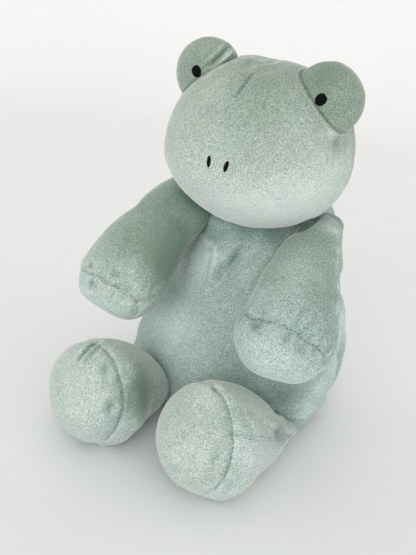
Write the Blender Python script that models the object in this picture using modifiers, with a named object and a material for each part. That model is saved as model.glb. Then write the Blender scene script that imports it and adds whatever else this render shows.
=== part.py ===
"""A seated plush frog: sewn velour panels over fibre filling, with a pellet pouch in its seat.

The frog faces -Y and its left side is +X. The origin is the middle of its seat on the ground.
Every stuffed form is a sphere drawn out along a spine, so that it swells and tapers. The cover
of a form is a thin wall round it, split into panels at its seams, and its filling fits inside.
"""

import math

import bmesh
import bpy
from mathutils import Matrix, Vector
from mathutils.bvhtree import BVHTree

# Cloth, seams and gaps
COVER = 0.0016
SEAM_GAP = 0.0003
REST_GAP = 0.0003
FILL_GAP = 0.0006
NECK_GAP = 0.0008
NECK_FINER = 2
CUT_REACH = 0.6
SPINE_STEPS = 16
SPINE_OVERRUN_SHARE = 0.8
SEAM_CLIMB_SHARE = 0.18

# Torso: a pear with a flat seat and a round top that the head sits on
TORSO_HEIGHT = 0.203
TORSO_HALF_WIDTH = 0.095
TORSO_HALF_DEPTH = 0.077
TORSO_DOME_RADIUS = 0.062
BASE_SEAM_HEIGHT = 0.010
POUCH_HEIGHT = 0.042
TORSO_ROUND = 24
TORSO_STEPS = 14

# Head: a rounded block, wide below and narrow above, on the torso's round top
HEAD_HEIGHT = 0.125
HEAD_HALF_WIDTH = 0.073
HEAD_HALF_DEPTH = 0.065
NECK_REACH = 0.0965
NECK_TILT_DEG = 29.0
NECK_TURN_DEG = 25.0
HEAD_LEAN_DEG = 3.5
HEAD_ROUND = 24
HEAD_STEPS = 14

# Eye pods: flat domes that stand out at the upper corners of the head
POD_HALF_WIDTH = 0.026
POD_HALF_DEPTH = 0.017
POD_HEIGHT = 0.031
POD_ROOT = 0.014
POD_SPLAY_DEG = 40.0
POD_ROUND = 14
POD_STEPS = 8

# Embroidered pupils and nostrils
PUPIL_HALF_WIDTH = 0.0038
PUPIL_HALF_HEIGHT = 0.0045
NOSTRIL_HALF_WIDTH = 0.0011
NOSTRIL_HALF_HEIGHT = 0.0040
NOSTRIL_SPACING = 0.0136
NOSTRIL_DROP = 0.007
NOSTRIL_TILT_DEG = 8.0
THREAD = 0.0009
PATCH_ROUND = 12
THREAD_GAP = 0.0005

# Arms: flat mitts that hang forward and down from the side seams
ARM_LENGTH = 0.150
ARM_HALF_WIDTH = 0.0355
ARM_HALF_DEPTH = 0.0245
ARM_LEFT_BEND = 0.021
ARM_RIGHT_BEND = 0.0175
ARM_LEFT_TWIST_DEG = -3.0
ARM_RIGHT_TWIST_DEG = -7.0
ARM_ROUND = 16
ARM_STEPS = 12
ARM_LEFT_DROP_DEG = 33.0
ARM_LEFT_SPREAD_DEG = 8.0
ARM_RIGHT_DROP_DEG = 37.0
ARM_RIGHT_SPREAD_DEG = 12.5
SHOULDER_LEFT_SETBACK = 0.0115
SHOULDER_LEFT_RISE = 0.0015
SHOULDER_RIGHT_SETBACK = 0.011
SHOULDER_RIGHT_RISE = 0.0105
SHOULDER_SINK = 0.001

# Legs: ball feet on short flat roots under the belly
LEG_LENGTH = 0.1305
FOOT_RADIUS = 0.0413
LEG_ROOT_DEPTH = 0.014
LEG_ROOT_HEIGHT = 0.0115
LEG_ROOT_HALF_THICKNESS = 0.0115
LEG_TOE_HEIGHT = 0.041
LEG_LEFT_CONVERGE_DEG = 11.0
LEG_RIGHT_CONVERGE_DEG = 3.0
LEG_BEND = 0.006
LEG_HANG_DEG = 75.0
LEG_SEAM_TILT_DEG = 15.0
SOLE_SEAM_TILT_DEG = 20.0
LEG_ROUND = 16
LEG_STEPS = 14

# Outlines by equal turns from the first pole to the last. The shares are of a form's length,
# of its half width, of the way from a round section to the flat one, and of its forward lean.
TORSO_SHARES = (
    (0.00, 0.00, 1.00, 0.03),
    (0.00, 0.60, 1.00, 0.03),
    (0.045, 0.89, 1.00, 0.03),
    (0.17, 0.99, 1.00, 0.12),
    (0.34, 0.95, 0.90, 0.27),
    (0.54, 0.79, 0.45, 0.44),
    (0.74, 0.65, 0.00, 0.55),
    (0.92, 0.44, 0.00, 0.56),
    (1.00, 0.00, 0.00, 0.56),
)
HEAD_SHARES = (
    (0.00, 0.00, 1.00, 0.00),
    (0.045, 0.42, 1.00, -0.02),
    (0.18, 0.80, 1.00, -0.04),
    (0.36, 0.99, 1.00, -0.04),
    (0.56, 0.985, 1.00, -0.02),
    (0.75, 0.87, 1.00, 0.00),
    (0.90, 0.64, 1.00, 0.02),
    (0.98, 0.34, 1.00, 0.02),
    (1.00, 0.00, 1.00, 0.00),
)
POD_SHARES = (
    (0.00, 0.00, 1.00, 0.00),
    (0.06, 0.55, 1.00, 0.00),
    (0.20, 0.88, 1.00, 0.00),
    (0.38, 1.00, 1.00, 0.00),
    (0.56, 0.98, 1.00, 0.00),
    (0.74, 0.85, 1.00, 0.00),
    (0.89, 0.61, 1.00, 0.00),
    (0.97, 0.32, 1.00, 0.00),
    (1.00, 0.00, 1.00, 0.00),
)
ARM_LEFT_SHARES = (
    (0.00, 0.00, 1.00, 0.00),
    (0.03, 0.38, 1.00, 0.00),
    (0.13, 0.46, 1.10, 0.00),
    (0.30, 0.57, 1.10, 0.00),
    (0.50, 0.735, 1.00, 0.00),
    (0.70, 0.91, 0.95, 0.00),
    (0.87, 1.00, 1.00, 0.00),
    (0.98, 0.61, 1.00, 0.00),
    (1.00, 0.00, 1.00, 0.00),
)
ARM_RIGHT_SHARES = (
    (0.00, 0.00, 1.00, 0.00),
    (0.03, 0.47, 0.95, 0.00),
    (0.13, 0.67, 0.90, 0.00),
    (0.30, 0.81, 0.88, 0.00),
    (0.50, 0.89, 0.90, 0.00),
    (0.70, 1.03, 0.88, 0.00),
    (0.87, 1.10, 0.90, 0.00),
    (0.98, 0.72, 1.00, 0.00),
    (1.00, 0.00, 1.00, 0.00),
)
LEG_SHARES = (
    (0.00, 0.00, 1.00, 0.00),
    (0.02, 0.50, 1.00, 0.00),
    (0.12, 0.66, 0.95, 0.00),
    (0.26, 0.76, 0.70, 0.00),
    (0.42, 0.91, 0.30, 0.00),
    (0.57, 0.93, 0.05, 0.00),
    (0.75, 0.98, 0.00, 0.00),
    (0.93, 0.55, 0.00, 0.00),
    (1.00, 0.00, 0.00, 0.00),
)

# Where things sit, as shares of the form that carries them
SHOULDER_TURN_SHARE = 0.80
HEAD_SIDE_SHARE = 0.32
HIP_TURN_SHARE = 0.215
HIP_ACROSS_SHARE = 0.73
HEAD_SEAM_SHARE = 0.10
POD_BESIDE_SHARE = 0.612
POD_RISE_SHARE = 0.82
POD_FORWARD_SHARE = 0.168
PALM_LEFT_SHARE = 0.82
PALM_RIGHT_SHARE = 0.95
LEG_SEAM_SHARE = 0.22
SOLE_SEAM_SHARE = 0.885
PUPIL_RISE_SHARE = 0.46

# How far the head and legs have turned, as shares of their range, where their neighbours keep clear
NECK_TURN_SHARES = (-1.0, -0.5, 0.0, 0.5, 1.0)
LEG_HANG_SHARES = (0.5, 1.0)

# Colours and roughness of the cloth, thread and stuffing
VELOUR_RGB = (0.42, 0.56, 0.49, 1.0)
VELOUR_ROUGHNESS = 0.9
THREAD_RGB = (0.012, 0.013, 0.018, 1.0)
THREAD_ROUGHNESS = 0.55
FIBRE_RGB = (0.86, 0.85, 0.82, 1.0)
POUCH_RGB = (0.62, 0.60, 0.55, 1.0)
STUFFING_ROUGHNESS = 1.0

UP = Vector((0, 0, 1))
BACK = Vector((0, 1, 0))
LEFT = Vector((1, 0, 0))


def clear_scene():
    for old in list(bpy.data.objects):
        bpy.data.objects.remove(old, do_unlink=True)


def new_collection(name):
    collection = bpy.data.collections.new(name)
    bpy.context.scene.collection.children.link(collection)
    return collection


def new_material(name, colour, roughness):
    material = bpy.data.materials.new(name)
    material.use_nodes = True
    shader = material.node_tree.nodes["Principled BSDF"]
    shader.inputs["Base Color"].default_value = colour
    shader.inputs["Roughness"].default_value = roughness
    shader.inputs["Metallic"].default_value = 0.0
    material.diffuse_color = colour
    return material


class Form:
    """A stuffed shape: a spine with an outline round it, and the directions of its width and depth."""

    def __init__(self, start, reach, side, half_width, half_depth, shares, around, along, bend=Vector()):
        self.start = start
        self.reach = reach
        self.side = (side - reach * side.dot(reach) / reach.length_squared).normalized()
        self.depth = reach.cross(self.side).normalized()
        self.half_width = half_width
        self.half_depth = half_depth
        self.shares = shares
        self.around = around
        self.along = along
        self.bend = bend - self.side * bend.dot(self.side)

    def row(self, turn):
        """The outline's shares at this turn, on a smooth curve that leaves both poles square."""
        rows = self.shares
        last = len(rows) - 1
        first = min(int(turn * last), last - 1)
        step = turn * last - first
        before = rows[first - 1] if first else (rows[1][0], -rows[1][1], *rows[1][2:])
        after = rows[first + 2] if first + 2 <= last else (rows[-2][0], -rows[-2][1], *rows[-2][2:])
        return tuple(
            b + 0.5 * step * (c - a + step * (2 * a - 5 * b + 4 * c - d + step * (3 * b - 3 * c + d - a)))
            for a, b, c, d in zip(before, rows[first], rows[first + 1], after)
        )

    def spine(self, share):
        """A point of the spine, which bows by the bend at its middle."""
        return self.start + self.reach * share + self.bend * (4 * share * (1 - share))

    def point(self, turn, across, outwards):
        """A point of the surface: across and outwards are the parts of a unit circle round the spine."""
        share, width, flat, lean = self.row(turn)
        half_depth = self.half_width + (self.half_depth - self.half_width) * flat
        sideways = self.side * (across * width * self.half_width)
        upright = self.square_to_spine(share)
        return self.spine(share) + sideways + upright * (lean * self.half_depth + outwards * width * half_depth)

    def square_to_spine(self, share):
        """The direction of the form's depth, square to the spine where it bows."""
        along = self.reach + self.bend * (4 * (1 - 2 * share))
        return along.cross(self.side).normalized()


def form_mesh(name, form, grow=0.0, finer=1):
    """The form as a closed mesh, its floor flat, grown outwards or, below zero, drawn inwards."""
    shape = bmesh.new()
    around = form.around * finer
    bmesh.ops.create_uvsphere(shape, u_segments=around, v_segments=form.along * finer, radius=1.0)
    half_step = math.pi / around
    for vert in shape.verts:
        ring = math.hypot(vert.co.x, vert.co.y)
        angle = math.atan2(vert.co.y, vert.co.x) + half_step
        turn = math.atan2(ring, -vert.co.z) / math.pi
        point = form.point(min(max(turn, 0.0), 1.0), math.cos(angle), math.sin(angle))
        point.z = max(point.z, 0.0)
        vert.co = point
    shape.normal_update()
    moved = [vert.co + vert.normal * grow for vert in shape.verts]
    for vert, place in zip(shape.verts, moved):
        vert.co = place
    mesh = bpy.data.meshes.new(name)
    shape.to_mesh(mesh)
    shape.free()
    return mesh


def add_object(name, mesh, collection, material=None, pivot=None):
    obj = bpy.data.objects.new(name, mesh)
    collection.objects.link(obj)
    if material:
        mesh.materials.append(material)
        mesh.shade_smooth()
        mesh.set_sharp_from_angle(angle=math.radians(60))
    if pivot:
        obj.parent = pivot
        obj.matrix_parent_inverse = pivot.matrix_world.inverted()
    return obj


def add_pivot(name, place, collection):
    """An empty on a joint's axis, which carries the pieces that turn about it."""
    pivot = bpy.data.objects.new(name, None)
    pivot.empty_display_size = COVER
    pivot.location = place
    collection.objects.link(pivot)
    bpy.context.view_layer.update()
    return pivot


def as_cutter(obj):
    obj.hide_render = True
    obj.display_type = "WIRE"
    return obj


def half_space(name, point, facing, collection):
    """A large box behind the plane through the point, whose face looks along facing."""
    shape = bmesh.new()
    bmesh.ops.create_cube(shape, size=CUT_REACH)
    mesh = bpy.data.meshes.new(name)
    shape.to_mesh(mesh)
    shape.free()
    box = bpy.data.objects.new(name, mesh)
    facing = facing.normalized()
    box.rotation_euler = facing.to_track_quat("Z", "Y").to_euler()
    box.location = point - facing * (CUT_REACH / 2)
    collection.objects.link(box)
    return as_cutter(box)


def seam(name, point, facing, collection):
    """Two cutters that leave half a seam gap on either side of a plane: ahead of it and behind it."""
    facing = facing.normalized()
    half = facing * (SEAM_GAP / 2)
    keep_ahead = half_space(name + "_ahead", point + half, facing, collection)
    keep_behind = half_space(name + "_behind", point - half, -facing, collection)
    return keep_ahead, keep_behind


def spine_slab(name, form, facing, crossing, collection):
    """A thick slab on one side of a form's seam: it follows the spine and climbs out at the crossing."""
    last = SPINE_STEPS
    shares = [SPINE_OVERRUN_SHARE * (2 * step / last - 1) + 0.5 for step in range(last + 1)]
    top = []
    for share in shares:
        climb = form.half_depth * max(0.0, 1.0 + (share - crossing) / SEAM_CLIMB_SHARE)
        height = climb + facing * SEAM_GAP / 2
        top.append(form.spine(share) + form.square_to_spine(share) * height)
    sink = form.depth * (facing * CUT_REACH)
    profile = top + [top[-1] - sink, top[0] - sink]
    shape = bmesh.new()
    face = shape.faces.new([shape.verts.new(point - form.side * (CUT_REACH / 2)) for point in profile])
    sweep = bmesh.ops.extrude_face_region(shape, geom=[face])["geom"]
    moved = [item for item in sweep if isinstance(item, bmesh.types.BMVert)]
    bmesh.ops.translate(shape, verts=moved, vec=form.side * CUT_REACH)
    bmesh.ops.recalc_face_normals(shape, faces=shape.faces)
    mesh = bpy.data.meshes.new(name)
    shape.to_mesh(mesh)
    shape.free()
    return as_cutter(add_object(name, mesh, collection))


def spine_seam(name, form, crossing, collection):
    """Two cutters on either side of a seam that runs along a form's sides and across its upper face."""
    keep_upper = spine_slab(name + "_upper", form, 1, crossing, collection)
    keep_lower = spine_slab(name + "_lower", form, -1, crossing, collection)
    return keep_upper, keep_lower


def cut(obj, cutters):
    for cutter in cutters:
        boolean = obj.modifiers.new("cut_" + cutter.name, "BOOLEAN")
        boolean.operation = "DIFFERENCE"
        boolean.solver = "EXACT"
        boolean.object = cutter


def cover_panel(name, form, cutters, collection, material, pivot=None):
    """One panel of a form's cover: a wall of cloth, trimmed at its seams and at its neighbours."""
    panel = add_object(name, form_mesh(name, form), collection, material, pivot)
    wall = panel.modifiers.new("cloth", "SOLIDIFY")
    wall.thickness = COVER
    wall.offset = -1.0
    cut(panel, cutters)
    return panel


def filling(name, form, cutters, collection, material, pivot=None):
    """The stuffing inside a form's cover."""
    body = form_mesh(name, form, grow=-(COVER + FILL_GAP))
    stuffing = add_object(name, body, collection, material, pivot)
    cut(stuffing, cutters)
    return stuffing


def room(name, form, gap, collection):
    """The space that a form takes from its smaller neighbours."""
    return as_cutter(add_object(name, form_mesh(name, form, grow=gap), collection))


def stitched_patch(name, place, facing, half_width, half_height, tilt, target, collection, material, pivot):
    """A flat patch of satin stitches that follows the cloth behind it."""
    shape = bmesh.new()
    bmesh.ops.create_circle(shape, cap_ends=True, cap_tris=True, segments=PATCH_ROUND, radius=1.0)
    turn = (-facing).to_track_quat("-Z", "Y").to_matrix() @ Matrix.Rotation(tilt, 3, "Z")
    for vert in shape.verts:
        vert.co = place + turn @ Vector((vert.co.x * half_width, vert.co.y * half_height, 0.0))
    shape.normal_update()
    if shape.faces[:][0].normal.dot(facing) < 0:
        bmesh.ops.reverse_faces(shape, faces=shape.faces)
    mesh = bpy.data.meshes.new(name)
    shape.to_mesh(mesh)
    shape.free()
    patch = add_object(name, mesh, collection, material, pivot)
    hug = patch.modifiers.new("follow_cloth", "SHRINKWRAP")
    hug.target = target
    hug.wrap_method = "NEAREST_SURFACEPOINT"
    hug.wrap_mode = "OUTSIDE_SURFACE"
    hug.offset = THREAD_GAP
    thread = patch.modifiers.new("thread", "SOLIDIFY")
    thread.thickness = THREAD
    thread.offset = 1.0
    return patch


def torso_form():
    return Form(
        Vector(), UP * TORSO_HEIGHT, LEFT, TORSO_HALF_WIDTH, TORSO_HALF_DEPTH,
        TORSO_SHARES, TORSO_ROUND, TORSO_STEPS,
    )


def dome_centre(torso):
    """The middle of the torso's round top, about which the head turns."""
    return torso.point(1.0, 0.0, 0.0) - UP * TORSO_DOME_RADIUS


def neck_axis():
    tilt = math.radians(NECK_TILT_DEG)
    return UP * math.cos(tilt) - BACK * math.sin(tilt)


def head_form(torso):
    """The head rests on the front of the torso's round top, leaning a little to its left."""
    lean = math.radians(HEAD_LEAN_DEG)
    upwards = UP * math.cos(lean) + LEFT * math.sin(lean)
    centre = dome_centre(torso) + neck_axis() * NECK_REACH
    return Form(
        centre - upwards * (HEAD_HEIGHT / 2), upwards * HEAD_HEIGHT, LEFT, HEAD_HALF_WIDTH, HEAD_HALF_DEPTH,
        HEAD_SHARES, HEAD_ROUND, HEAD_STEPS,
    )


def pod_form(head, hand):
    """An eye pod: a flat dome on the head's upper corner. hand is 1 on the left and -1 on the right."""
    splay = math.radians(POD_SPLAY_DEG)
    upwards = head.reach.normalized()
    out = upwards * math.cos(splay) + head.side * (hand * math.sin(splay))
    beside = head.side * (hand * POD_BESIDE_SHARE * HEAD_HALF_WIDTH)
    base = head.spine(POD_RISE_SHARE) + beside - head.depth * (POD_FORWARD_SHARE * HEAD_HALF_DEPTH)
    side = head.side * math.cos(splay) - upwards * (hand * math.sin(splay))
    return Form(
        base - out * POD_ROOT, out * (POD_ROOT + POD_HEIGHT), side, POD_HALF_WIDTH, POD_HALF_DEPTH,
        POD_SHARES, POD_ROUND, POD_STEPS,
    )


def shoulder_point(torso, hand):
    return torso.point(SHOULDER_TURN_SHARE, hand, 0.0)


def arm_form(start, hand, drop_deg, spread_deg, twist_deg, shares, bend):
    """An arm from its shoulder, pointing forward, down and a little outwards."""
    drop, spread, twist = (math.radians(angle) for angle in (drop_deg, spread_deg, twist_deg))
    level = LEFT * (hand * math.sin(spread)) - BACK * math.cos(spread)
    direction = level * math.cos(drop) - UP * math.sin(drop)
    side = LEFT * math.cos(twist) + UP * (hand * math.sin(twist))
    return Form(
        start, direction * ARM_LENGTH, side, ARM_HALF_WIDTH, ARM_HALF_DEPTH,
        shares, ARM_ROUND, ARM_STEPS, bend=UP * bend,
    )


def arm_start(torso, hand, setback, rise):
    """The middle of an arm's root: on the side seam, sunk in a little."""
    return shoulder_point(torso, hand) - BACK * setback - LEFT * (hand * SHOULDER_SINK) + UP * rise


def arm_forms(torso):
    left = arm_form(
        arm_start(torso, 1, SHOULDER_LEFT_SETBACK, SHOULDER_LEFT_RISE), 1,
        ARM_LEFT_DROP_DEG, ARM_LEFT_SPREAD_DEG, ARM_LEFT_TWIST_DEG, ARM_LEFT_SHARES, ARM_LEFT_BEND,
    )
    right = arm_form(
        arm_start(torso, -1, SHOULDER_RIGHT_SETBACK, SHOULDER_RIGHT_RISE), -1,
        ARM_RIGHT_DROP_DEG, ARM_RIGHT_SPREAD_DEG, ARM_RIGHT_TWIST_DEG, ARM_RIGHT_SHARES, ARM_RIGHT_BEND,
    )
    return {"left": left, "right": right}


def hip_point(torso, hand):
    forward = -math.sqrt(1.0 - HIP_ACROSS_SHARE**2)
    return torso.point(HIP_TURN_SHARE, hand * HIP_ACROSS_SHARE, forward)


def leg_form(torso, hand, converge_deg):
    """A leg from under the belly: a flat root that swells into a round foot."""
    converge = math.radians(converge_deg)
    level = -LEFT * (hand * math.sin(converge)) - BACK * math.cos(converge)
    hip = hip_point(torso, hand)
    start = Vector((hip.x, hip.y, 0.0)) - level * LEG_ROOT_DEPTH + UP * LEG_ROOT_HEIGHT
    reach = level * LEG_LENGTH + UP * (LEG_TOE_HEIGHT - LEG_ROOT_HEIGHT)
    return Form(
        start, reach, LEFT, FOOT_RADIUS, LEG_ROOT_HALF_THICKNESS,
        LEG_SHARES, LEG_ROUND, LEG_STEPS, bend=UP * LEG_BEND,
    )


def turned_room(name, source, angle_deg, centre, axis, collection):
    """The room of a form that has turned about an axis, which a neighbour keeps clear of."""
    turned = as_cutter(add_object(name, source.data.copy(), collection))
    turn = Matrix.Rotation(math.radians(angle_deg), 4, axis)
    turned.matrix_world = Matrix.Translation(centre) @ turn @ Matrix.Translation(-centre)
    return turned


def neck_turns():
    """The turns of the neck at which its neighbours keep clear."""
    return [Matrix.Rotation(math.radians(NECK_TURN_DEG * share), 3, neck_axis()) for share in NECK_TURN_SHARES]


def neck_room(torso, collection):
    """The space that the torso takes from the head over the whole turn of the neck."""
    mesh = form_mesh("neck_room", torso, grow=NECK_GAP, finer=NECK_FINER)
    places = [vert.co.copy() for vert in mesh.vertices]
    surface = BVHTree.FromPolygons(places, [face.vertices[:] for face in mesh.polygons])
    centre = dome_centre(torso)
    for vert in mesh.vertices:
        out = (vert.co - centre).normalized()
        reach = max(surface.ray_cast(centre, turn @ out)[3] for turn in neck_turns())
        vert.co = centre + out * reach
    return as_cutter(add_object("neck_room", mesh, collection))


def head_side(name, arm, head, dome, collection):
    """A flat cut beside an arm's root that keeps it clear of the head at every turn of the neck."""
    facing = (arm.spine(HEAD_SIDE_SHARE) - head.spine(0.5)).normalized()
    places = [vert.co - dome for vert in form_mesh(name, head, grow=NECK_GAP).vertices]
    reach = max(facing.dot(dome + turn @ place) for turn in neck_turns() for place in places)
    return half_space(name, facing * reach, facing, collection)


def build_torso(torso, parts, cutters, velour, fibre, pouch):
    seat = torso.point(0.0, 0.0, 0.0)
    lean = dome_centre(torso) - seat
    back, front = seam("torso_side_seam", seat, lean.cross(LEFT), cutters)
    above, below = seam("torso_base_seam", UP * BASE_SEAM_HEIGHT, UP, cutters)
    cover_panel("torso_front_panel", torso, (front, above), parts, velour)
    cover_panel("torso_back_panel", torso, (back, above), parts, velour)
    cover_panel("torso_base_panel", torso, (below,), parts, velour)
    over, under = seam("pouch_top", UP * POUCH_HEIGHT, UP, cutters)
    filling("torso_filling", torso, (over,), parts, fibre)
    filling("pellet_pouch", torso, (under,), parts, pouch)


def build_head(head, torso, parts, cutters, velour, fibre, thread, pivot):
    neck = neck_room(torso, cutters)
    across = head.spine(0.5) + head.depth * (HEAD_SEAM_SHARE * HEAD_HALF_DEPTH)
    back, face = seam("head_seam", across, head.depth, cutters)
    cover_panel("head_face_panel", head, (face, neck), parts, velour, pivot)
    cover_panel("head_back_panel", head, (back, neck), parts, velour, pivot)
    filling("head_filling", head, (neck,), parts, fibre, pivot)
    face_room = room("face_room", head, REST_GAP, cutters)
    for name, hand in (("left", 1), ("right", -1)):
        build_pod(name, pod_form(head, hand), face_room, parts, cutters, velour, fibre, thread, pivot)
        beside = head.side * (hand * NOSTRIL_SPACING / 2)
        nose = head.spine(0.5) + beside - head.depth * HEAD_HALF_DEPTH - head.reach.normalized() * NOSTRIL_DROP
        tilt = math.radians(hand * NOSTRIL_TILT_DEG)
        stitched_patch(
            "nostril_" + name, nose, -head.depth, NOSTRIL_HALF_WIDTH, NOSTRIL_HALF_HEIGHT,
            tilt, face_room, parts, thread, pivot,
        )


def build_pod(name, pod, face_room, parts, cutters, velour, fibre, thread, pivot):
    back, front = seam("eye_seam_" + name, pod.spine(0.5), pod.depth, cutters)
    cover_panel(f"eye_{name}_front_panel", pod, (front, face_room), parts, velour, pivot)
    cover_panel(f"eye_{name}_back_panel", pod, (back, face_room), parts, velour, pivot)
    filling(f"eye_{name}_filling", pod, (face_room,), parts, fibre, pivot)
    pod_room = room("eye_room_" + name, pod, REST_GAP, cutters)
    place = pod.spine(PUPIL_RISE_SHARE) - pod.depth * POD_HALF_DEPTH
    stitched_patch(
        "pupil_" + name, place, -pod.depth, PUPIL_HALF_WIDTH, PUPIL_HALF_HEIGHT,
        0.0, pod_room, parts, thread, pivot,
    )


def build_arm(name, arm, crossing, clear, parts, cutters, velour, fibre, pivot):
    upper, palm = spine_seam("arm_seam_" + name, arm, crossing, cutters)
    cover_panel(f"arm_{name}_upper_panel", arm, (upper, *clear), parts, velour, pivot)
    cover_panel(f"arm_{name}_palm_panel", arm, (palm, *clear), parts, velour, pivot)
    filling(f"arm_{name}_filling", arm, clear, parts, fibre, pivot)


def hip_axis(torso, hand):
    """A level line along the base seam at the hip: a positive turn lets the leg hang."""
    across = HIP_ACROSS_SHARE * hand
    slope = -across * torso.half_depth / (math.sqrt(1.0 - across**2) * torso.half_width)
    return Vector((1.0, -slope, 0.0)).normalized()


def build_leg(name, leg, clear, parts, cutters, velour, fibre, pivot):
    along = leg.reach.normalized()
    climb = math.radians(LEG_SEAM_TILT_DEG)
    side_facing = leg.depth * math.cos(climb) - along * math.sin(climb)
    upper, lower = seam("leg_seam_" + name, leg.spine(LEG_SEAM_SHARE), side_facing, cutters)
    tilt = math.radians(SOLE_SEAM_TILT_DEG)
    sole_facing = along * math.cos(tilt) + leg.depth * math.sin(tilt)
    sole, shin = seam("sole_seam_" + name, leg.spine(SOLE_SEAM_SHARE), sole_facing, cutters)
    cover_panel(f"leg_{name}_upper_panel", leg, (upper, shin, *clear), parts, velour, pivot)
    cover_panel(f"leg_{name}_lower_panel", leg, (lower, shin, *clear), parts, velour, pivot)
    cover_panel(f"foot_{name}_sole_panel", leg, (sole, *clear), parts, velour, pivot)
    filling(f"leg_{name}_filling", leg, clear, parts, fibre, pivot)


def main():
    clear_scene()
    parts = new_collection("plush_frog")
    cutters = new_collection("cutters")
    velour = new_material("velour", VELOUR_RGB, VELOUR_ROUGHNESS)
    thread = new_material("embroidery_thread", THREAD_RGB, THREAD_ROUGHNESS)
    fibre = new_material("fibre_filling", FIBRE_RGB, STUFFING_ROUGHNESS)
    pouch = new_material("pellet_pouch_cloth", POUCH_RGB, STUFFING_ROUGHNESS)

    torso = torso_form()
    build_torso(torso, parts, cutters, velour, fibre, pouch)

    head = head_form(torso)
    dome = dome_centre(torso)
    neck = add_pivot("neck_pivot", dome + neck_axis() * TORSO_DOME_RADIUS, parts)
    build_head(head, torso, parts, cutters, velour, fibre, thread, neck)

    torso_room = room("torso_room", torso, REST_GAP, cutters)
    arms = arm_forms(torso)
    limbs = (
        ("left", 1, PALM_LEFT_SHARE, LEG_LEFT_CONVERGE_DEG),
        ("right", -1, PALM_RIGHT_SHARE, LEG_RIGHT_CONVERGE_DEG),
    )
    for name, hand, palm_share, converge_deg in limbs:
        shoulder = add_pivot("shoulder_pivot_" + name, shoulder_point(torso, hand), parts)
        clear_of_arms = (torso_room, head_side("head_side_" + name, arms[name], head, dome, cutters))
        build_arm(name, arms[name], palm_share, clear_of_arms, parts, cutters, velour, fibre, shoulder)
        hip = add_pivot("hip_pivot_" + name, hip_point(torso, hand), parts)
        clear_of_legs = [torso_room]
        for step, share in enumerate(LEG_HANG_SHARES):
            hang = turned_room(
                f"torso_room_{name}_{step}", torso_room, -LEG_HANG_DEG * share,
                hip_point(torso, hand), hip_axis(torso, hand), cutters,
            )
            clear_of_legs.append(hang)
        leg = leg_form(torso, hand, converge_deg)
        build_leg(name, leg, clear_of_legs, parts, cutters, velour, fibre, hip)


main()
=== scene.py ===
"""Looks of the plush frog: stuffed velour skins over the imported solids, embroidery, seams and a plain studio."""

import math

import bpy
import numpy as np
from mathutils import Matrix, Vector
from mathutils.bvhtree import BVHTree


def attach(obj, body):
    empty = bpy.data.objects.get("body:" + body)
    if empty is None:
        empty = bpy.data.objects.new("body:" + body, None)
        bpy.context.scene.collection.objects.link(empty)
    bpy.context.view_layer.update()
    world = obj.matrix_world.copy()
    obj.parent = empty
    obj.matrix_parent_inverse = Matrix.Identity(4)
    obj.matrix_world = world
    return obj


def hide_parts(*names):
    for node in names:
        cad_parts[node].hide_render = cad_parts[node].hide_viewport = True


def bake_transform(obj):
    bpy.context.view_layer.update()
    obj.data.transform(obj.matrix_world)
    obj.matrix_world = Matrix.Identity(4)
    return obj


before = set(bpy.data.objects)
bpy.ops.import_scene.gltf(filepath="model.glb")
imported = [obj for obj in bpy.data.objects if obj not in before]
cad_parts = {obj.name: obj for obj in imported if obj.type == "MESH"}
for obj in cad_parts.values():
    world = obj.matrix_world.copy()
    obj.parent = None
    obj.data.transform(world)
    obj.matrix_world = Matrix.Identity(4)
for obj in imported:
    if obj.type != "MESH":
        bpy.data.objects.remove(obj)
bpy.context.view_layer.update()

MM = 0.001
UP = np.array((0.0, 0.0, 1.0))
BACK = np.array((0.0, 1.0, 0.0))
LEFT = np.array((1.0, 0.0, 0.0))
SIDES = (("left", 1), ("right", -1))

# The camera's turn, pitch and roll, its place (to the right, back and up), and the lens, in the photo's own pixels.
CAMERA_TURNS_DEG = (26, 22, 7)
CAMERA_PLACE = (0.0285, 0.474, 0.30)
PHOTO_FOCUS, PHOTO_HEIGHT = 600, 555


# ---- camera and studio

def photo_camera():
    """The camera stands in front of the frog, a little to its right, and looks down on it."""
    turn, pitch, roll = (math.radians(a) for a in CAMERA_TURNS_DEG)
    beside, behind, height = CAMERA_PLACE
    right = Vector((math.cos(turn), math.sin(turn), 0))
    ahead = Vector((-math.sin(turn), math.cos(turn), 0))
    up = Vector(UP)
    looking = ahead * math.cos(pitch) - up * math.sin(pitch)
    level = ahead * math.sin(pitch) + up * math.cos(pitch)
    across = right * math.cos(roll) + level * math.sin(roll)
    upright = level * math.cos(roll) - right * math.sin(roll)
    data = bpy.data.cameras.new("photo_camera")
    data.sensor_width = 36
    data.lens = PHOTO_FOCUS / PHOTO_HEIGHT * data.sensor_width
    data.clip_start = 0.01
    place = Matrix((across, upright, -looking)).transposed().to_4x4()
    place.translation = -(right * beside + ahead * behind) + up * height
    camera = add_object("photo_camera", data)
    camera.matrix_world = place
    bpy.context.scene.camera = camera
    return right, ahead


def add_object(name, data):
    obj = bpy.data.objects.new(name, data)
    bpy.context.scene.collection.objects.link(obj)
    return obj


def soft_lamp(name, towards, strength, spread_deg, colour):
    """A broad soft lamp that shines along a direction."""
    data = bpy.data.lights.new(name, "SUN")
    data.energy = strength
    data.angle = math.radians(spread_deg)
    data.color = colour
    add_object(name, data).rotation_euler = Vector(towards).to_track_quat("-Z", "Y").to_euler()


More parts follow.
